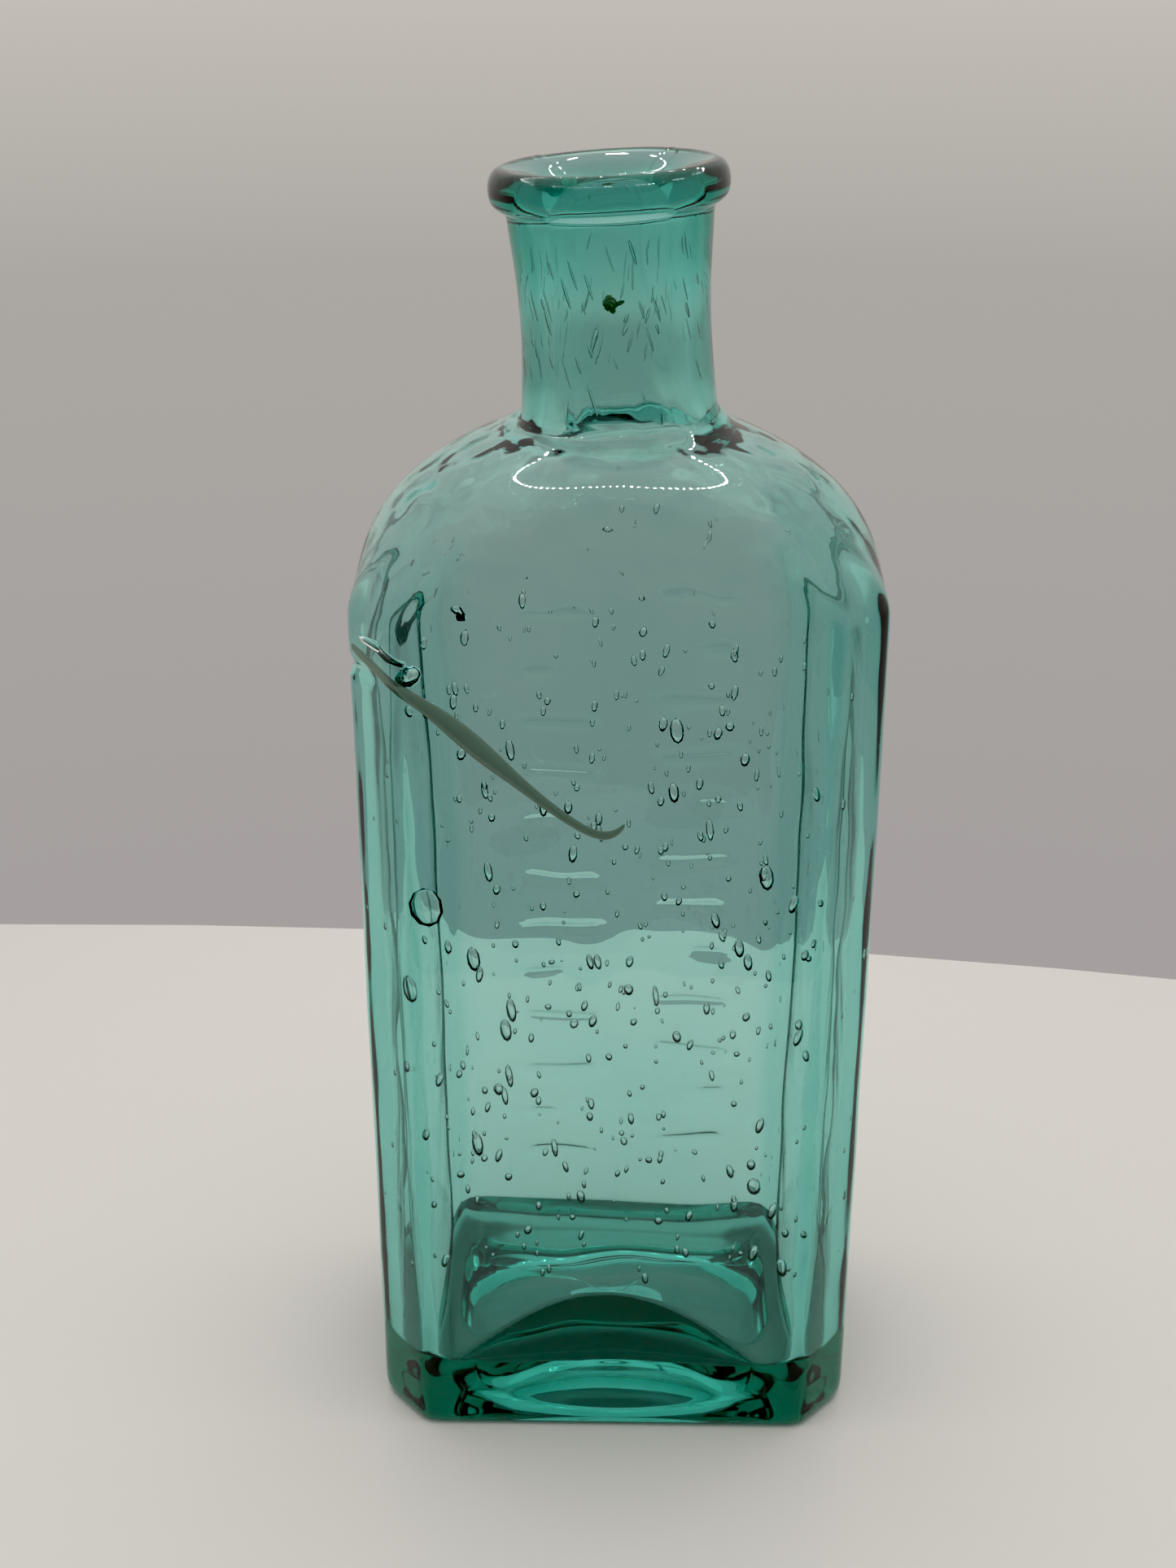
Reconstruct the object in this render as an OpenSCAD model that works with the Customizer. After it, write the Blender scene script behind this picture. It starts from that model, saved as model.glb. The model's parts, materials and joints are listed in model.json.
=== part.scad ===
// Mould-blown medicine bottle with bevelled corners, arched shoulders and a
// hand-finished neck. Millimetres, +Z up, +X across the wide front panel, and
// the front panel faces -Y. The origin is the middle of the resting plane.

/* [Body] */
// Width over the two narrow sides
body_w = 62; // [50:1:80]
// Depth over the front and back panels
body_d = 41; // [34:1:50]
// Width of the bevelled corner, measured along the front panel
bevel_w = 5.9; // [3:0.1:7]
// Depth of the bevelled corner, measured along the narrow side
bevel_d = 6.5; // [3:0.1:7]
// Thickness of the side walls
wall = 2.5; // [1.8:0.1:4]

/* [Base] */
// Height of the solid glass in the base, measured at its corners
base_h = 7; // [5:0.5:10]
// Height of the small bevel around the heel
heel = 1.2; // [0.5:0.1:2]
// Rise of the hollow under the base
kick_rise = 3; // [1:0.1:4]
// Half of the depth of the hollow, front to back
kick_half_d = 15.5; // [10:0.5:16]
// Half of the straight length of the hollow, along the width
kick_straight = 9; // [4:1:10]

/* [Shoulder] */
// Height at which the walls end and the shoulder begins
shoulder_z = 110; // [90:1:130]
// Height of the centre of the shoulder arch
arch_z = 112; // [92:1:132]
// Rise of the shoulder arch at the middle of its depth
arch_rise = 20; // [16:1:24]
// Rise of the shoulder arch at the front and back panels
panel_rise = 12; // [9:1:14]

/* [Neck and lip] */
// Lean of the neck towards -X, in degrees
neck_lean = 3; // [0:0.5:4]
// Radius of the neck where it meets the shoulder
neck_root_r = 11.2; // [10:0.1:13]
// Radius of the neck at its narrowest place
neck_waist_r = 10.8; // [10:0.1:12]
// Radius of the neck under the lip
neck_top_r = 11.4; // [10.5:0.1:13]
// Length of the neck from the shoulder to the underside of the lip
neck_len = 24; // [16:1:30]
// Radius of the mouth where the cork seats
mouth_r = 6.8; // [5:0.1:8]
// Length of the straight seat for the cork
seat_len = 10; // [6:1:11]
// Outer radius of the ring lip
lip_r = 13.5; // [12.5:0.1:15]
// Height of the ring lip
lip_h = 4.6; // [3:0.1:6]

/* [Surface marks] */
// Height of the raised marks, and of the stray thread, above the panels
relief = 0.4; // [0.2:0.1:0.6]
// Raised bars in each column on the back panel
bar_count = 12; // [6:1:14]

/* [Hidden] */
$fn = 96;
half_w = body_w / 2;
half_d = body_d / 2;
panel_half = half_w - bevel_w;
side_half = half_d - bevel_d;
wall_h = shoulder_z - base_h;
// The inner corner bevels are a little smaller, so the corners are the thickest glass.
inner_bevel = 0.85;
// The neck starts inside the hole in the shoulder and leans about this height.
lean_z = arch_z + arch_rise - 0.6;
neck_foot = 3.8;
lip_z = lean_z + neck_len;
mouth_z = lip_z + lip_h - 0.6;
seat_top = mouth_z - 1;
neck_land_r = neck_top_r - 1;
throat_r = mouth_r + 0.9;
lip_round = 0.42 * lip_h;
slice = 0.02;
arch_steps = 24;
bar_gap = 7.6;
bar_t = 1;
residue_r = 1.5;
residue_z = seat_top - seat_len - 3.4;

// Half-section of the outer or inner skin: inset moves it inwards.
function bevel_x(inset) = inset > 0 ? bevel_w * inner_bevel : bevel_w;
function bevel_y(inset) = inset > 0 ? bevel_d * inner_bevel : bevel_d;

// Plan of the body: a rectangle with its four corners cut off.
module body_plan(inset) {
  hw = half_w - inset;
  hd = half_d - inset;
  bx = bevel_x(inset);
  by = bevel_y(inset);
  polygon([
    [hw - bx, -hd], [hw, by - hd], [hw, hd - by], [hw - bx, hd],
    [bx - hw, hd], [-hw, hd - by], [-hw, by - hd], [bx - hw, -hd]
  ]);
}

// One upright slice of the shoulder: half an ellipse that stands on the walls.
module arch_slice(y, half, rise) {
  arc = [for (i = [0 : arch_steps]) let (a = 180 * i / arch_steps)
    [half * cos(a), arch_z - shoulder_z + rise * sin(a)]];
  translate([0, y + slice / 2, shoulder_z])
    rotate([90, 0, 0])
      linear_extrude(slice)
        polygon(concat([[half, 0]], arc, [[-half, 0]]));
}

// The loaf-shaped shoulder. Its front and back edges fall away in three steps.
module loaf(inset) {
  hw = half_w - inset;
  hd = half_d - inset - slice / 2;
  bx = bevel_x(inset);
  by = bevel_y(inset);
  crown = arch_rise - inset;
  crease = panel_rise - inset * 0.6;
  hull()
    for (side = [-1, 1]) {
      arch_slice(side * (hd - by - 2), hw, crown);
      arch_slice(side * (hd - by), hw, crown - 0.6);
      arch_slice(side * (hd - by * 0.46), hw - bx * 0.54, crown - 0.42 * (crown - crease));
      arch_slice(side * hd, hw - bx, crease);
    }
}

// Everything on the neck turns about the middle of the shoulder's top.
module on_neck() {
  translate([0, 0, lean_z])
    rotate([0, -neck_lean, 0])
      translate([0, 0, -lean_z])
        children();
}

module shoulder_half(side) {
  difference() {
    intersection() {
      loaf(0);
      translate([-half_w, side > 0 ? 0 : -half_d, shoulder_z])
        cube([body_w, half_d, 2 * arch_rise]);
    }
    loaf(wall);
    on_neck()
      translate([0, 0, lean_z - 2 * neck_foot])
        cylinder(h = 4 * neck_foot, r = neck_root_r);
  }
}

// A shallow vault with round ends, for the hollow under the base and the floor above it.
module vault(rise) {
  big_r = (pow(kick_half_d, 2) + pow(rise, 2)) / (2 * rise);
  translate([0, 0, rise - big_r]) {
    translate([-kick_straight, 0, 0])
      rotate([0, 90, 0])
        cylinder(h = 2 * kick_straight, r = big_r);
    for (end = [-1, 1])
      translate([end * kick_straight, 0, 0])
        sphere(r = big_r);
  }
}

module base() {
  color("#5fb39c")
    difference() {
      union() {
        translate([0, 0, heel])
          linear_extrude(base_h - heel)
            body_plan(0);
        hull() {
          translate([0, 0, heel])
            linear_extrude(slice)
              body_plan(0);
          linear_extrude(slice)
            offset(delta = -heel)
              body_plan(0);
        }
        intersection() {
          translate([0, 0, base_h])
            vault(kick_rise);
          translate([0, 0, base_h - 1])
            linear_extrude(2 * kick_rise)
              body_plan(wall);
        }
      }
      vault(kick_rise);
    }
}

module wide_panel(side) {
  translate([-panel_half, side > 0 ? half_d - wall : -half_d, base_h])
    cube([2 * panel_half, wall, wall_h]);
}

module narrow_side(side) {
  translate([side > 0 ? half_w - wall : -half_w, -side_half, base_h])
    cube([wall, 2 * side_half, wall_h]);
}

// A corner post: the cut-off corner of the plan between the two wall planes.
module corner_post(x_side, y_side) {
  hw = half_w - wall;
  hd = half_d - wall;
  bx = bevel_x(wall);
  by = bevel_y(wall);
  translate([0, 0, base_h])
    linear_extrude(wall_h)
      polygon([
        [x_side * panel_half, y_side * half_d],
        [x_side * half_w, y_side * side_half],
        [x_side * hw, y_side * side_half],
        [x_side * hw, y_side * (hd - by)],
        [x_side * (hw - bx), y_side * hd],
        [x_side * panel_half, y_side * hd]
      ]);
}

module front_panel() {
  color("#9fd0c4")
    wide_panel(-1);
}

// The back panel carries two columns of plain raised bars, long and short by turns.
module back_panel() {
  color("#9fd0c4")
    union() {
      wide_panel(1);
      for (i = [0 : bar_count - 1]) {
        long_bar = i % 3 != 1;
        translate([-13, half_d, 16 + bar_gap * i])
          cube([long_bar ? 10 : 5, relief, bar_t]);
        translate([long_bar ? 6.5 : 11, half_d, 19 + bar_gap * i])
          cube([long_bar ? 9 : 4.5, relief, bar_t]);
      }
    }
}

module left_side() {
  color("#6fb8a8")
    narrow_side(-1);
}

module right_side() {
  color("#6fb8a8")
    narrow_side(1);
}

module front_left_corner() {
  color("#86c4b6")
    corner_post(-1, -1);
}

module front_right_corner() {
  color("#86c4b6")
    corner_post(1, -1);
}

module back_left_corner() {
  color("#86c4b6")
    corner_post(-1, 1);
}

module back_right_corner() {
  color("#86c4b6")
    corner_post(1, 1);
}

module front_shoulder() {
  color("#b4dbd0")
    shoulder_half(-1);
}

module back_shoulder() {
  color("#b4dbd0")
    shoulder_half(1);
}

// The space inside the neck: a flared mouth, the straight cork seat and a wider throat.
module neck_hollow() {
  rotate_extrude()
    polygon([
      [0, lean_z - neck_foot],
      [throat_r + 0.6, lean_z - neck_foot],
      [throat_r, seat_top - seat_len - 3],
      [mouth_r, seat_top - seat_len],
      [mouth_r, seat_top],
      [mouth_r + 1.4, mouth_z],
      [0, mouth_z]
    ]);
}

// The neck is one tube. Its end is turned down to take the ring lip.
module neck() {
  color("#7fc0b2")
    on_neck()
      difference() {
        rotate_extrude()
          polygon([
            [0, lean_z - neck_foot],
            [neck_root_r, lean_z - neck_foot],
            [neck_root_r, lean_z + 0.6],
            [neck_waist_r, lean_z + 0.45 * neck_len],
            [neck_top_r, lip_z - 2],
            [neck_top_r, lip_z],
            [neck_land_r, lip_z],
            [neck_land_r, mouth_z],
            [0, mouth_z]
          ]);
        neck_hollow();
      }
}

// The ring of glass laid on around the end of the neck and rolled to shape.
module lip_ring() {
  color("#3f9384")
    on_neck()
      rotate_extrude()
        translate([neck_land_r, lip_z])
          union() {
            square([lip_r - neck_land_r - lip_round, lip_h]);
            translate([0, lip_round])
              square([lip_r - neck_land_r, lip_h - 2 * lip_round]);
            for (z = [lip_round, lip_h - lip_round])
              translate([lip_r - neck_land_r - lip_round, z])
                circle(r = lip_round);
          }
}

// A stray thread of glass that runs over the corner and down across the front panel.
module glass_thread() {
  corner_turn = atan2(bevel_d, bevel_w);
  color("#a9c4a4")
    union() {
      translate([0, -half_d, 0])
        rotate([90, 0, 0])
          linear_extrude(relief)
            polygon([
              [-panel_half, 105.4], [-23, 105.6], [-18, 101.8], [-13, 97], [-8, 92.2],
              [-4, 89], [-1.9, 87.9], [-0.4, 88.1], [0.5, 89], [0.8, 88.6], [-0.2, 87.3],
              [-2, 87.1], [-4.2, 88.2], [-8.4, 91.3], [-13.4, 95.7], [-18.6, 99.5], [-23.4, 103.3],
              [-panel_half, 104]
            ]);
      translate([-panel_half, -half_d, 0])
        rotate([0, 0, -corner_turn])
          rotate([90, 0, 180])
            mirror([0, 0, 1])
              linear_extrude(relief)
                polygon([[0, 104], [0, 105.4], [7.6, 109], [7.6, 108]]);
    }
}

// A dry crumb of old contents stuck to the back of the throat, under the cork seat.
module neck_residue() {
  color("#8c8a5c")
    on_neck()
      intersection() {
        neck_hollow();
        translate([-0.8, throat_r, residue_z])
          sphere(r = residue_r, $fn = 32);
      }
}

base();
front_panel();
back_panel();
left_side();
right_side();
front_left_corner();
front_right_corner();
back_left_corner();
back_right_corner();
front_shoulder();
back_shoulder();
neck();
lip_ring();
glass_thread();
neck_residue();
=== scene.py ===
import bmesh
import bpy
import json
import math
import random
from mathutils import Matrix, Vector


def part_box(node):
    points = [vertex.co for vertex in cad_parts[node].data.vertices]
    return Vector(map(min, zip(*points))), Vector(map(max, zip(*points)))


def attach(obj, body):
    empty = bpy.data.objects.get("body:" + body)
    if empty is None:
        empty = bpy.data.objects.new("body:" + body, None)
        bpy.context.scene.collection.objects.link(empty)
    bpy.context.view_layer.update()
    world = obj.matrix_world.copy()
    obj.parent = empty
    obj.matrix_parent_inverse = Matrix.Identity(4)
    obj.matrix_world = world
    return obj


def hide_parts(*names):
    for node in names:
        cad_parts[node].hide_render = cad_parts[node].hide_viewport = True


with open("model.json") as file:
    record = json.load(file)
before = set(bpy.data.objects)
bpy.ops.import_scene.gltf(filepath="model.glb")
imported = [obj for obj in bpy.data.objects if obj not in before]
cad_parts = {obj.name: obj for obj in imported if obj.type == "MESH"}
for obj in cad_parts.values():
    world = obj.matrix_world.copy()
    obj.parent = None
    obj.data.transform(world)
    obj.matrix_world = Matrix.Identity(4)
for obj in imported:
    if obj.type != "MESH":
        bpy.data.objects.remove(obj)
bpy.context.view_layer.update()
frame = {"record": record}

# Viewpoint: close to the bottle and looking down on it, so that the upright sides
# draw together towards the base. The bottle stands a little to the right of the middle.
camera_reach = 0.2278
camera_height = 0.18816
camera_pitch = math.radians(24.375)
camera_turn = math.radians(1.046)
camera_shift_left = 0.0037
view = bpy.data.objects.new("view_camera", bpy.data.cameras.new("view_camera"))
bpy.context.scene.collection.objects.link(view)
view.location = (
    camera_reach * math.sin(camera_turn) - camera_shift_left * math.cos(camera_turn),
    -camera_reach * math.cos(camera_turn) - camera_shift_left * math.sin(camera_turn),
    camera_height,
)
view.rotation_euler = (math.radians(90) - camera_pitch, 0, camera_turn)
view.data.sensor_width = 36
view.data.lens = 45.86
view.data.clip_start = 0.01
bpy.context.scene.camera = view


# Blown vessel: aqua glass blown into a mould in one piece, thick in the base and in the
# corners, with a gather of glass rolled round the mouth. Here it is drawn ring by ring from
# the heel up to the mouth, and the inside from the floor up to meet it there.
base_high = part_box("base")[1]
panel_low, panel_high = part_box("front_panel")
side_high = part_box("left_side")[1]
half_width = base_high.x
half_depth = base_high.y
panel_half = panel_high.x
side_half = side_high.y
wall = panel_high.y - panel_low.y
heel_height = 0.002
shoulder_start = panel_high.z + 0.002
shoulder_rise = 0.020
neck_root = shoulder_start + 0.0194
mouth = next(m for m in frame["record"]["mounts"] if m["name"] == "mouth")
neck_lean = math.atan2(-mouth["axis"][0], mouth["axis"][2])
bore_radius = mouth["dims"]["r_mm"] / 1000
lip_under = neck_root + 0.024
bar_start = 0.01574
bar_rows = 60
bar_pitch = 0.00152
bar_end = bar_start + bar_rows * bar_pitch
# Extra points in each ring: along the front and back, along the sides, across a corner.
ring_cuts = (17, 8, 2)


def only_vertices(obj, test):
    """Selects the points of the mesh being edited that pass the test, and no others."""
    bpy.ops.mesh.select_mode(type="VERT")
    bpy.ops.mesh.select_all(action="DESELECT")
    mesh = bmesh.from_edit_mesh(obj.data)
    for v in mesh.verts:
        v.select = test(v.co)
    mesh.select_flush(True)
    bmesh.update_edit_mesh(obj.data)


def only_edges(obj, test):
    """Selects the edges whose two ends pass the test."""
    bpy.ops.mesh.select_mode(type="EDGE")
    bpy.ops.mesh.select_all(action="DESELECT")
    mesh = bmesh.from_edit_mesh(obj.data)
    for e in mesh.edges:
        e.select = test(e.verts[0].co, e.verts[1].co)
    mesh.select_flush(True)
    bmesh.update_edit_mesh(obj.data)


def fit_ring(obj, half_x, half_y, z):
    """Stretches the selected ring until it measures half_x by half_y."""
    chosen = [v.co for v in bmesh.from_edit_mesh(obj.data).verts if v.select]
    reach_x = max(abs(p.x) for p in chosen)
    reach_y = max(abs(p.y) for p in chosen)
    bpy.ops.transform.resize(
        value=(half_x / reach_x, half_y / reach_y, 1), center_override=(0, 0, z)
    )


def bevelled_ring(name, half_x, half_y, flat_x, flat_y, corner, cuts, z):
    """A level ring in the bottle's plan: a rectangle with its four corners cut off."""
    bpy.ops.object.select_all(action="DESELECT")
    bpy.ops.mesh.primitive_circle_add(vertices=8, radius=1, location=(0, 0, z))
    obj = bpy.context.object
    obj.name = name
    obj.rotation_euler.z = math.pi / 8
    bpy.ops.object.transform_apply(location=True, rotation=True, scale=True)
    bpy.ops.object.mode_set(mode="EDIT")
    only_vertices(obj, lambda p: abs(p.x) > abs(p.y))
    fit_ring(obj, half_x, flat_y, z)
    only_vertices(obj, lambda p: abs(p.y) > 0.5)
    fit_ring(obj, flat_x, half_y, z)
    bpy.ops.mesh.select_all(action="SELECT")
    bpy.ops.mesh.bevel(offset=corner, segments=3, affect="VERTICES")
    only_edges(obj, lambda a, b: abs(a.y - b.y) < 1e-6 and abs(a.x - b.x) > flat_x)
    bpy.ops.mesh.subdivide(number_cuts=cuts[0])
    only_edges(obj, lambda a, b: abs(a.x - b.x) < 1e-6 and abs(a.y - b.y) > flat_y)
    bpy.ops.mesh.subdivide(number_cuts=cuts[1])
    only_edges(
        obj,
        lambda a, b: abs(a.x - b.x) > corner * 1.5 and abs(a.y - b.y) > corner * 1.5,
    )
    bpy.ops.mesh.subdivide(number_cuts=cuts[2])
    bpy.ops.mesh.select_all(action="SELECT")
    return obj


def draw_rings(obj, z, rings):
    """Pulls the selected rim through rings of (height, half width, half depth, rounding)."""
    for height, half_x, half_y, rounding in rings:
        bpy.ops.mesh.extrude_edges_move(
            TRANSFORM_OT_translate={"value": (0, 0, height - z)}
        )
        z = height
        if rounding > 0:
            fit_ring(obj, 1, 1, z)
            bpy.ops.transform.tosphere(value=rounding)
        fit_ring(obj, half_x, half_y, z)


def ease(t):
    t = min(max(t, 0), 1)
    return t * t * (3 - 2 * t)


def close_end(obj):
    """Closes the selected rim with a fan of faces around its middle."""
    bpy.ops.mesh.extrude_edges_move(TRANSFORM_OT_translate={"value": (0, 0, 0)})
    bpy.ops.mesh.merge(type="CENTER")


def shoulder_rings(z, rise, half_x, half_y, fall_start, fall_depth, top_radius, steps):
    """Rings of the arch: half an ellipse in front view, rounding off into a circle."""
    rings = []
    left = 1.0
    fullness = 0.92
    top_angle = math.acos((top_radius / half_x) ** (1 / fullness))
    for i in range(1, steps + 1):
        angle = top_angle * i / steps
        height = z + rise * math.sin(angle)
        fall = min(max((height - fall_start) / (z + rise - fall_start), 0), 1)
        depth = half_y - fall_depth * (1 - math.sqrt(1 - fall * fall))
        still = 1 - ease((height - z) / (0.68 * rise))
        rounding = 1 - still / left if left > 1e-4 else 0
        left = still
        rings.append((
            height, half_x * math.cos(angle) ** fullness, max(depth, top_radius), rounding,
        ))
    return rings


def level_rings(low, high, count, half_x, half_y, spread=0):
    """Evenly spaced level rings; spread widens them steadily towards the last one."""
    rings = []
    for i in range(1, count + 1):
        wider = spread * i / count
        rings.append((low + (high - low) * i / count, half_x + wider, half_y + wider, 0))
    return rings


corner_rounding = 0.0013
outer = bevelled_ring(
    "blown_vessel", half_width, half_depth, panel_half, side_half, corner_rounding,
    ring_cuts, heel_height,
)
neck_outside = [
    (neck_root + 0.0001, 0.0124, 0.0124, 1),
    (neck_root + 0.0005, 0.01165, 0.01165, 0),
    (neck_root + 0.0012, 0.0113, 0.0113, 0),
    (neck_root + 0.0035, 0.0112, 0.0112, 0),
]
for i in range(1, 11):
    t = i / 10
    radius = 0.0112 - 0.0004 * math.sin(math.pi * t) + 0.0003 * t * t
    neck_outside.append((neck_root + 0.0035 + 0.0185 * t, radius, radius, 0))
lip_outside = [
    (lip_under - 0.0008, 0.01155),
    (lip_under - 0.0002, 0.0118),
    (lip_under + 0.0001, 0.0123),
    (lip_under + 0.0005, 0.0130),
    (lip_under + 0.0013, 0.01342),
    (lip_under + 0.0023, 0.0135),
    (lip_under + 0.0033, 0.0134),
    (lip_under + 0.0041, 0.0130),
    (lip_under + 0.0046, 0.0123),
    (lip_under + 0.0046, 0.0114),
    (lip_under + 0.0043, 0.0104),
    (lip_under + 0.0040, 0.0094),
    (lip_under + 0.0036, 0.0085),
    (lip_under + 0.0030, 0.0076),
    (lip_under + 0.0022, 0.0071),
]
draw_rings(
    outer,
    heel_height,
    level_rings(heel_height, bar_start, 7, half_width, half_depth)
    + level_rings(bar_start, bar_end, bar_rows, half_width, half_depth)
    + level_rings(bar_end, shoulder_start, 1, half_width, half_depth)
    + shoulder_rings(
        shoulder_start, shoulder_rise, half_width, half_depth,
        fall_start=shoulder_start + 0.0095, fall_depth=0.0085, top_radius=0.0142, steps=18,
    )
    + neck_outside
    + [(z, r, r, 0) for z, r in lip_outside],
)
# The heel, the ring that the bottle rests on, and the push-up under the base.
only_vertices(outer, lambda p: p.z < heel_height + 1e-5)
push_up_rise = 0.006
push_up_x = 0.0235
push_up_y = 0.0152
under = [
    (heel_height * 0.45, half_width - 0.0002, half_depth - 0.0002, 0),
    (heel_height * 0.12, half_width - 0.0007, half_depth - 0.0007, 0),
    (0.0, half_width - 0.0016, half_depth - 0.0016, 0),
    (0.0, push_up_x + 0.003, push_up_y + 0.0018, 0.4),
    (0.0, push_up_x + 0.0007, push_up_y + 0.0006, 0.8),
]
for reach in (0.97, 0.92, 0.85, 0.76, 0.66, 0.54, 0.42, 0.3, 0.18, 0.08):
    under.append((
        push_up_rise * (1 - reach * reach), push_up_x * reach, push_up_y * reach, 0.6,
    ))
draw_rings(outer, heel_height, under)
close_end(outer)
bpy.ops.object.mode_set(mode="OBJECT")

# The inside: a floor, straight walls, the arch of the shoulder and the throat. Its corners
# are cut off by about as much as the outside ones, so the glass is thicker there than in
# the walls.
floor_height = 0.0041
thinning = 0.0006
corner_top = floor_height + 0.0053
inside_x = half_width - wall
inside_y = half_depth - wall
inside_cut_x = 0.0059
inside_cut_y = 0.0064
inside_rounding = 0.0032
inner = bevelled_ring(
    "vessel_inside", inside_x, inside_y, inside_x - inside_cut_x, inside_y - inside_cut_y,
    inside_rounding, ring_cuts, corner_top,
)
throat = [
    (neck_root - 0.0012, 0.0094, 0.0094, 1),
    (neck_root + 0.0012, 0.0084, 0.0084, 0),
    (neck_root + 0.005, 0.0079, 0.0079, 0),
    (neck_root + 0.010, 0.0077, 0.0077, 0),
    (neck_root + 0.0136, 0.0077, 0.0077, 0),
    (neck_root + 0.017, 0.0069, 0.0069, 0),
    (neck_root + 0.020, bore_radius, bore_radius, 0),
    (neck_root + 0.0235, bore_radius, bore_radius, 0),
]
draw_rings(
    inner,
    corner_top,
    level_rings(corner_top, 0.025, 15, inside_x, inside_y)
    + level_rings(0.025, shoulder_start, 30, inside_x, inside_y, thinning)
    + shoulder_rings(
        shoulder_start, shoulder_rise - 0.0016, inside_x + thinning, inside_y + thinning,
        fall_start=shoulder_start + 0.009, fall_depth=0.0085, top_radius=0.0105, steps=18,
    )
    + throat,
)
only_vertices(inner, lambda p: p.z < corner_top + 1e-5)
# From the wall to the floor: a long gentle slope, a short steep one, then the domed floor.
floor_dome = 0.0042
floor_tuck = 0.0080
floor_rings = []
for drop, tuck in (
    (0.0001, 0.0001), (0.0007, 0.0018), (0.0015, 0.0036), (0.0022, 0.0052), (0.0025, 0.0056),
    (0.0034, 0.0061), (0.0044, 0.0066), (0.0050, 0.0072), (0.0053, floor_tuck),
):
    floor_rings.append((corner_top - drop, inside_x - tuck, inside_y - tuck, 0.03))
for reach in (0.92, 0.84, 0.74, 0.62, 0.5, 0.37, 0.24, 0.1):
    floor_rings.append((
        floor_height + floor_dome * (1 - reach * reach),
        (inside_x - floor_tuck) * reach,
        (inside_y - floor_tuck) * reach,
        0.25,
    ))
draw_rings(inner, corner_top, floor_rings)
close_end(inner)
bpy.ops.object.mode_set(mode="OBJECT")


def soften(obj, levels):
    bpy.context.view_layer.objects.active = obj
    rounder = obj.modifiers.new("rounding", "SUBSURF")
    rounder.levels = levels
    rounder.render_levels = levels
    bpy.ops.object.modifier_apply(modifier=rounder.name)


def push(obj, direction, strength, weight, texture=None, shift=0):
    """Moves points along a direction, each by its own share of the strength."""
    share = obj.vertex_groups.new(name="share")
    for v in obj.data.vertices:
        share.add([v.index], min(max(weight(v.co), 0), 1), "REPLACE")
    mover = obj.modifiers.new("push", "DISPLACE")
    mover.direction = direction
    mover.vertex_group = share.name
    mover.strength = strength
    mover.mid_level = 0.0
    anchor = bpy.data.objects.new("push_anchor", None)
    bpy.context.scene.collection.objects.link(anchor)
    anchor.location.x = shift
    bpy.context.view_layer.update()
    if texture:
        mover.mid_level = 0.5
        mover.texture = texture
        mover.texture_coords = "OBJECT"
        mover.texture_coords_object = anchor
    bpy.context.view_layer.objects.active = obj
    bpy.ops.object.modifier_apply(modifier=mover.name)
    bpy.data.objects.remove(anchor)
    obj.vertex_groups.clear()


def ripple(obj, size, strength, shift, steady_below):
    """Slow waves left in hot glass. Points near the resting plane stay where they are."""
    waves = bpy.data.textures.new("waves", "CLOUDS")
    waves.noise_scale = size
    waves.noise_depth = 1
    push(obj, "NORMAL", strength, lambda p: ease((p.z - steady_below) / 0.008), waves, shift)


def wedge_share(p):
    """Extra glass low on the front wall, under an arch that peaks in mid panel."""
    across = min(abs(p.x + 0.001) / 0.0215, 1)
    arch = 0.008 + 0.013 * math.cos(math.pi / 2 * across)
    under_arch = max(arch - max(p.z, floor_height), 0)
    return 0.42 * under_arch / 0.008 * min(max((0.002 - p.y) / 0.0201, 0), 1)


# Raised marks on the back: two columns of plain bars, long and short by turns.
bpy.context.view_layer.objects.active = outer
bpy.ops.object.mode_set(mode="EDIT")
bpy.ops.mesh.select_mode(type="FACE")
bpy.ops.mesh.select_all(action="DESELECT")
marks = bmesh.from_edit_mesh(outer.data)
for face in marks.faces:
    at = face.calc_center_median()
    row = math.floor((at.z - bar_start) / bar_pitch)
    if at.y < half_depth - 0.0005 or not 0 <= row < bar_rows:
        continue
    long_bar = row // 5 % 3 != 1
    if row % 5 == 0:
        face.select = -0.013 < at.x < (-0.003 if long_bar else -0.008)
    if row % 5 == 2:
        face.select = (0.0065 if long_bar else 0.011) < at.x < 0.0155
marks.select_flush(True)
bmesh.update_edit_mesh(outer.data)
bar_relief = 0.00035
bpy.ops.mesh.inset(thickness=bar_relief, depth=bar_relief)
bpy.ops.object.mode_set(mode="OBJECT")

soften(outer, 1)
soften(inner, 1)
push(inner, "Y", 0.008, wedge_share)
# The cavity drifts a little to the left in the upper body.
push(inner, "X", -0.0005, lambda p: ease((p.z - 0.085) / 0.025) * ease((0.1295 - p.z) / 0.012))


def step_share(p):
    """A small dent in the left corner, just under the place where the stray thread crosses."""
    return ease(1 - abs(p.z - 0.1062) / 0.0016) if p.x < -0.027 else 0


push(outer, "X", 0.0006, step_share)
ripple(outer, size=0.016, strength=0.00025, shift=0.3, steady_below=0.001)
ripple(inner, size=0.014, strength=0.0004, shift=0.9, steady_below=0.001)
ripple(inner, size=0.0035, strength=0.00035, shift=1.7, steady_below=0.108)

# Seeds: bubbles of gas caught in the wall. Most were drawn out upright as the glass
# sank; those in the neck were pulled long and thin and wound round with it.
bpy.ops.object.select_all(action="DESELECT")
bpy.ops.mesh.primitive_uv_sphere_add(segments=8, ring_count=5, radius=1)
seed_shape = bpy.context.object
bpy.ops.object.mode_set(mode="EDIT")
bpy.ops.mesh.select_all(action="SELECT")
bpy.ops.mesh.flip_normals()
bpy.ops.object.mode_set(mode="OBJECT")
seeds = []
chance = random.Random(1871)


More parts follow.
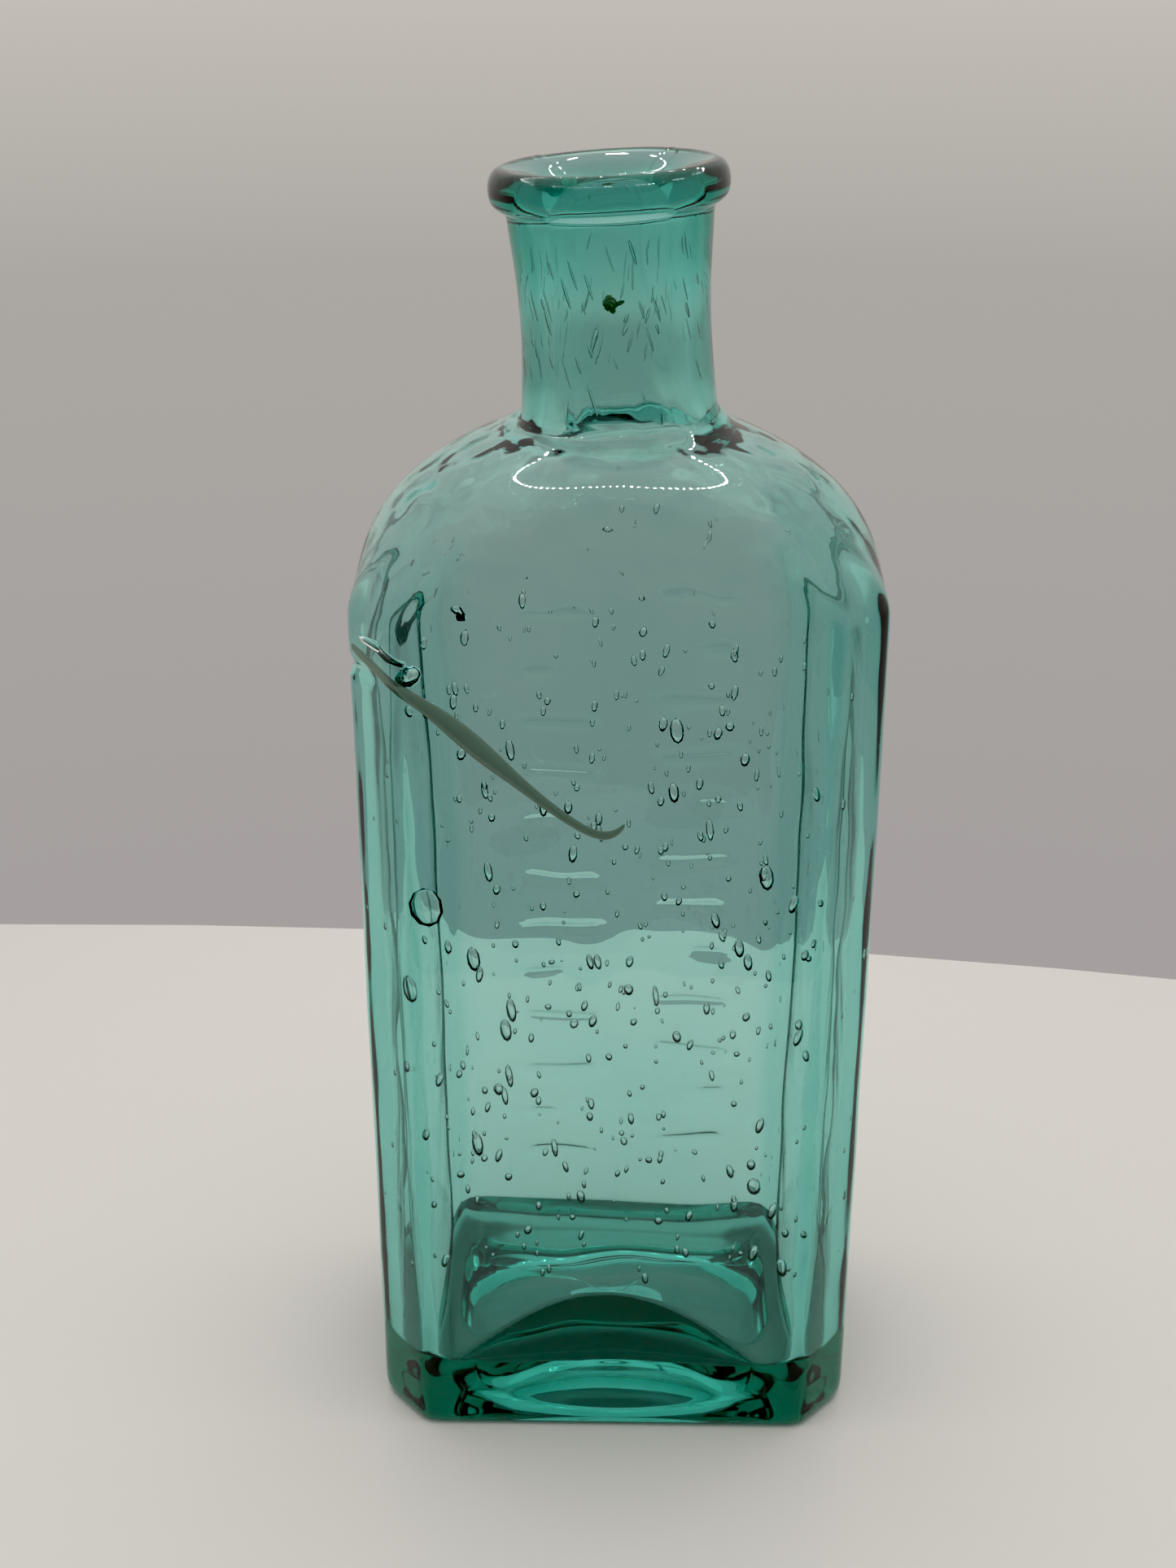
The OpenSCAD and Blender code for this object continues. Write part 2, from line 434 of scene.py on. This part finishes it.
def add_seed(place, size, turn=0, tilt=0):
    """size is half the width, half the thickness through the wall, half the length."""
    seed = seed_shape.copy()
    seed.data = seed_shape.data.copy()
    seed.location = place
    seed.rotation_euler = (0, 0, turn)
    seed.rotation_euler.rotate_axis("Y", tilt)
    seed.scale = size
    bpy.context.scene.collection.objects.link(seed)
    seeds.append(seed)


mid_wall = wall / 2
panel_seeds = 430
side_seeds = 90
neck_streaks = 90
for i in range(panel_seeds):
    width = 0.0002 + 0.00042 * chance.random() ** 2.4
    length = width * chance.uniform(1.1, 2.6)
    x = chance.uniform(-0.024, 0.024)
    z = 0.012 + 0.104 * chance.random()
    face_side = -1 if chance.random() < 0.6 else 1
    if face_side < 0 and z < 0.024:
        z += 0.014
    add_seed(
        (x, face_side * (half_depth - mid_wall), z), (width, width * 0.5, length),
        0, chance.uniform(-0.25, 0.25),
    )
for i in range(side_seeds):
    width = 0.00015 + 0.0003 * chance.random() ** 1.6
    z = chance.uniform(0.012, 0.106)
    side = chance.choice((-1, 1))
    along = chance.uniform(-1, 1)
    if abs(along) < 0.5:
        place = (side * (half_width - mid_wall), along * 0.024, z)
        turn = math.pi / 2
    else:
        front = math.copysign(1, along)
        slide = chance.uniform(0.15, 0.85)
        place = (
            side * (panel_half + (half_width - panel_half) * slide - mid_wall * 0.75),
            front * (half_depth - (half_depth - side_half) * slide - mid_wall * 0.65),
            z,
        )
        turn = -side * front * math.atan2(half_depth - side_half, half_width - panel_half)
    add_seed(place, (width, width * 0.75, width * chance.uniform(1.2, 2.6)), turn, 0)
# Two gaps left beside the stray thread where it bridged the corner.
add_seed((-0.0263, -0.0179, 0.1093), (0.0006, 0.0007, 0.0034), turn=0.35, tilt=-0.95)
add_seed((-0.0234, mid_wall - half_depth, 0.1068), (0.0012, 0.0009, 0.0016), turn=0, tilt=0.9)
# The largest seeds on the front: across, up, half width and half length in millimetres.
for x, z, width, length in (
    (-22.4, 77.7, 2.0, 2.6), (-12.6, 63.8, 0.6, 1.7), (-13.3, 61.0, 0.7, 1.6),
    (-24.6, 66.6, 0.85, 1.9), (-17.0, 70.8, 0.8, 1.7), (-15.0, 82.5, 0.5, 1.4),
    (-15.2, 93.0, 0.4, 1.2), (17.5, 82.0, 0.85, 1.7), (14.6, 72.6, 0.6, 1.3),
    (15.7, 70.7, 0.55, 1.2), (17.5, 38.5, 0.9, 1.3), (-13.0, 54.5, 0.45, 1.7),
    (-13.6, 51.6, 0.4, 1.4), (-17.1, 44.4, 0.7, 1.8), (4.8, 66.0, 0.35, 1.5),
    (-7.5, 44.0, 0.4, 1.4), (6.7, 100.5, 0.8, 1.6), (-12.2, 98.0, 0.5, 1.4),
    (21.5, 26.0, 0.7, 1.5),
):
    add_seed(
        (x / 1000, mid_wall - half_depth, z / 1000),
        (width / 1000, min(width, 0.6) / 2200, length / 1000), 0, -0.12,
    )
streak_radius = 0.0094
for i in range(neck_streaks):
    angle = chance.uniform(0, 2 * math.pi)
    width = chance.uniform(0.00008, 0.00020)
    up = neck_root + chance.uniform(0.004, 0.021)
    place = (streak_radius * math.sin(angle), -streak_radius * math.cos(angle), up)
    add_seed(place, (width, width, chance.uniform(0.0006, 0.0021)), angle, -0.26)


def join_to(keeper, others):
    """Makes the others part of the keeper's mesh."""
    bpy.ops.object.select_all(action="DESELECT")
    for obj in others:
        obj.select_set(True)
    keeper.select_set(True)
    bpy.context.view_layer.objects.active = keeper
    bpy.ops.object.join()


seed_cloud = seeds[0]
join_to(seed_cloud, seeds)
bpy.ops.object.transform_apply(location=True, rotation=True, scale=True)
bpy.data.objects.remove(seed_shape)

# The inside and the outside are closed into one skin at the mouth, the seeds are added as
# hollows in the same glass, and the neck is leaned over.
join_to(outer, [inner])
bpy.ops.object.mode_set(mode="EDIT")
bpy.ops.mesh.select_mode(type="EDGE")
bpy.ops.mesh.select_all(action="DESELECT")
bpy.ops.mesh.select_non_manifold(
    extend=False, use_wire=False, use_boundary=True,
    use_multi_face=False, use_non_contiguous=False, use_verts=False,
)
bpy.ops.mesh.bridge_edge_loops()
bpy.ops.mesh.select_all(action="SELECT")
bpy.ops.mesh.remove_doubles(threshold=1e-6)
bpy.ops.mesh.normals_make_consistent(inside=False)
bpy.ops.object.mode_set(mode="OBJECT")
join_to(outer, [seed_cloud])
bpy.ops.object.mode_set(mode="EDIT")
only_vertices(outer, lambda p: p.z > neck_root)
bpy.ops.transform.rotate(value=neck_lean, orient_axis="Y", center_override=(0, 0, neck_root))
bpy.ops.object.mode_set(mode="OBJECT")
bpy.ops.object.shade_smooth()


def new_material(name):
    """Makes a material and gives it back with its shader."""
    material = bpy.data.materials.new(name)
    material.use_nodes = True
    return material, material.node_tree.nodes["Principled BSDF"]


glass, skin = new_material("aqua_glass")
tree = glass.node_tree
skin.inputs["Base Color"].default_value = (1, 1, 1, 1)
skin.inputs["Transmission Weight"].default_value = 1
skin.inputs["Roughness"].default_value = 0.0
skin.inputs["IOR"].default_value = 1.5
tint = tree.nodes.new("ShaderNodeVolumeAbsorption")
tint.inputs["Color"].default_value = (0.07, 0.745, 0.675, 1)
tint.inputs["Density"].default_value = 190
tree.links.new(tint.outputs["Volume"], tree.nodes["Material Output"].inputs["Volume"])
outer.data.materials.clear()
outer.data.materials.append(glass)
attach(outer, "root")
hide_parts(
    "base", "front_panel", "back_panel", "left_side", "right_side",
    "front_left_corner", "front_right_corner", "back_left_corner", "back_right_corner",
    "front_shoulder", "back_shoulder", "neck", "lip_ring",
)


# Stray thread: a dribble of paler glass that fell across the left corner while hot and
# fused to the front panel. It tapers to a hooked end.
def add_strand(name, path, flatness, slant):
    """Draws a closed, tapering strand through (x, y, z, half width) points.

    flatness is its depth against its width, and slant makes up for its lying aslope.
    """
    bpy.ops.object.select_all(action="DESELECT")
    bpy.ops.mesh.primitive_circle_add(vertices=10, radius=1, rotation=(0, math.pi / 2, 0))
    obj = bpy.context.object
    obj.name = name
    bpy.ops.object.transform_apply(location=True, rotation=True, scale=True)
    bpy.ops.object.mode_set(mode="EDIT")
    bpy.ops.mesh.select_all(action="SELECT")
    bpy.ops.transform.resize(value=(1, path[0][3] * flatness, path[0][3] * slant))
    bpy.ops.transform.translate(value=path[0][:3])
    bpy.ops.mesh.edge_face_add()
    bpy.ops.mesh.poke()
    start = Vector(path[0][:3])
    hub = path[0][3] * flatness * 0.5
    only_vertices(obj, lambda p: (Vector(p) - start).length > hub)
    for before, after in zip(path, path[1:]):
        move = [after[i] - before[i] for i in range(3)]
        grow = after[3] / before[3]
        bpy.ops.mesh.extrude_edges_move(TRANSFORM_OT_translate={"value": move})
        bpy.ops.transform.resize(value=(1, grow, grow), center_override=after[:3])
    bpy.ops.mesh.edge_face_add()
    bpy.ops.mesh.poke()
    bpy.ops.mesh.select_all(action="SELECT")
    bpy.ops.mesh.normals_make_consistent(inside=False)
    bpy.ops.object.mode_set(mode="OBJECT")
    soften(obj, 2)
    bpy.ops.object.shade_smooth()
    return obj


on_panel = -half_depth - 0.00002
thread_path = [
    (-0.0304, -0.0146, 0.1086, 0.00035), (-0.0278, -0.0175, 0.1074, 0.00045),
    (-0.0251, -0.0204, 0.1058, 0.0005), (-0.0222, on_panel, 0.1040, 0.0006),
    (-0.0195, on_panel, 0.1018, 0.0009), (-0.0170, on_panel, 0.0996, 0.0011),
    (-0.0145, on_panel, 0.0974, 0.0010), (-0.0118, on_panel, 0.0949, 0.0007),
    (-0.0092, on_panel, 0.0925, 0.00055), (-0.0066, on_panel, 0.0904, 0.00045),
    (-0.0044, on_panel, 0.0888, 0.0004), (-0.0025, on_panel, 0.0878, 0.00035),
    (-0.0010, on_panel, 0.0876, 0.00035), (0.0002, on_panel, 0.0882, 0.0003),
    (0.0009, on_panel, 0.0890, 0.0002),
]
thread = add_strand("stray_thread", thread_path, flatness=0.42, slant=1.7)
thread_glass, milky = new_material("sage_glass")
milky.inputs["Base Color"].default_value = (0.23, 0.36, 0.28, 1)
milky.inputs["Roughness"].default_value = 0.12
milky.inputs["Transmission Weight"].default_value = 0.25
thread.data.materials.append(thread_glass)
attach(thread, "root")
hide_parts("glass_thread")


# Residue: a dry olive-brown crumb at the back of the throat, with a few flecks near it.
residue_low, residue_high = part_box("neck_residue")
crumb_place = (residue_low + residue_high) / 2
crumbs = []
for i in range(9):
    bpy.ops.object.select_all(action="DESELECT")
    size = 0.0010 if i == 0 else chance.uniform(0.00025, 0.00055)
    bpy.ops.mesh.primitive_ico_sphere_add(subdivisions=3, radius=size)
    crumb = bpy.context.object
    bpy.ops.object.mode_set(mode="EDIT")
    bpy.ops.mesh.select_all(action="SELECT")
    bpy.ops.transform.translate(value=(
        crumb_place.x + (0 if i == 0 else chance.uniform(-0.0013, 0.0013)),
        crumb_place.y + (0 if i == 0 else chance.uniform(-0.0003, 0.0002)),
        crumb_place.z + (0 if i == 0 else chance.uniform(-0.0010, 0.0010)),
    ))
    bpy.ops.object.mode_set(mode="OBJECT")
    crumbs.append(crumb)
residue = crumbs[0]
join_to(residue, crumbs)
residue.name = "throat_residue"
bpy.ops.object.transform_apply(location=True, rotation=True, scale=True)
grain = bpy.data.textures.new("grain", "CLOUDS")
grain.noise_scale = 0.0005
push(residue, "NORMAL", 0.0006, lambda p: 1, grain)
dry, dry_skin = new_material("dry_residue")
dry_skin.inputs["Base Color"].default_value = (0.26, 0.25, 0.12, 1)
dry_skin.inputs["Roughness"].default_value = 0.85
residue.data.materials.append(dry)
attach(residue, "root")
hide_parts("neck_residue")


# Stage: a pale paper sheet with a slightly curved far edge, in a plain grey room with
# soft light from above. The room is darker on the side that the bottle faces.
# Nothing stands behind the bottle, so it is seen from all sides.
bpy.ops.object.select_all(action="DESELECT")
bpy.ops.mesh.primitive_grid_add(x_subdivisions=48, y_subdivisions=1, size=2)
floor = bpy.context.object
floor.name = "stage_floor"
bpy.ops.object.mode_set(mode="EDIT")
bpy.ops.mesh.select_all(action="SELECT")
sheet_half_depth = 0.13
bpy.ops.transform.resize(value=(1, sheet_half_depth, 1))
bpy.ops.transform.translate(value=(0, -0.0115, 0))
bpy.ops.object.mode_set(mode="OBJECT")
push(floor, "Y", -1.0, lambda p: (0.004 + 0.085 * p.x + 0.45 * p.x * p.x) if p.y > 0 else 0)
paper, paper_skin = new_material("pale_sheet")
paper_skin.inputs["Base Color"].default_value = (0.8, 0.775, 0.74, 1)
paper_skin.inputs["Roughness"].default_value = 0.9
paper_skin.inputs["Specular IOR Level"].default_value = 0.1
floor.data.materials.append(paper)

world = bpy.data.worlds.new("grey_room")
bpy.context.scene.world = world
world.use_nodes = True
room = world.node_tree.nodes["Background"]
direction = world.node_tree.nodes.new("ShaderNodeTexCoord")
heading = world.node_tree.nodes.new("ShaderNodeSeparateXYZ")
shade = world.node_tree.nodes.new("ShaderNodeMapRange")
shade.inputs["From Min"].default_value = -0.45
shade.inputs["From Max"].default_value = 0.55
ramp = world.node_tree.nodes.new("ShaderNodeValToRGB")
ramp.color_ramp.elements[0].color = (0.39, 0.365, 0.36, 1)
ramp.color_ramp.elements[0].position = 0.0
ramp.color_ramp.elements[1].color = (0.72, 0.70, 0.68, 1)
ramp.color_ramp.elements[1].position = 1.0
middle = ramp.color_ramp.elements.new(0.28)
middle.color = (0.42, 0.40, 0.375, 1)
top_edge = ramp.color_ramp.elements.new(0.41)
top_edge.color = (0.56, 0.53, 0.49, 1)
world.node_tree.links.new(direction.outputs["Generated"], heading.inputs["Vector"])
world.node_tree.links.new(heading.outputs["Z"], shade.inputs["Value"])
world.node_tree.links.new(shade.outputs["Result"], ramp.inputs["Fac"])
world.node_tree.links.new(ramp.outputs["Color"], room.inputs["Color"])
front_shade = world.node_tree.nodes.new("ShaderNodeMapRange")
front_shade.inputs["From Min"].default_value = -0.8
front_shade.inputs["From Max"].default_value = -0.1
front_shade.inputs["To Min"].default_value = 0.15
world.node_tree.links.new(heading.outputs["Y"], front_shade.inputs["Value"])
world.node_tree.links.new(front_shade.outputs["Result"], room.inputs["Strength"])
overhead = bpy.data.lights.new("overhead", "AREA")
overhead.size = 1.4
overhead.energy = 1.36
overhead.color = (1, 0.985, 0.96)
overhead_light = bpy.data.objects.new("overhead", overhead)
overhead_light.location = (0.05, -0.15, 0.75)
bpy.context.scene.collection.objects.link(overhead_light)

lamp_count = 64
lamp_radius = 0.095
lamp_height = 0.235
lamp = bpy.data.lights.new("ring_lamp", "AREA")
lamp.shape = "DISK"
lamp.size = 0.0035
lamp.energy = 0.0028
for i in range(lamp_count):
    angle = 2 * math.pi * i / lamp_count
    spot = bpy.data.objects.new(f"ring_lamp_{i:02d}", lamp)
    spot.location = (lamp_radius * math.cos(angle), lamp_radius * math.sin(angle), lamp_height)
    bpy.context.scene.collection.objects.link(spot)

scene = bpy.context.scene
scene.view_settings.view_transform = "Standard"
scene.view_settings.use_curve_mapping = True
scene.view_settings.curve_mapping.black_level = (0.022, 0.022, 0.022)
scene.view_settings.curve_mapping.update()
scene.cycles.max_bounces = 24
scene.cycles.transmission_bounces = 24
scene.cycles.transparent_max_bounces = 16
scene.cycles.sample_clamp_indirect = 4
scene.cycles.use_denoising = True
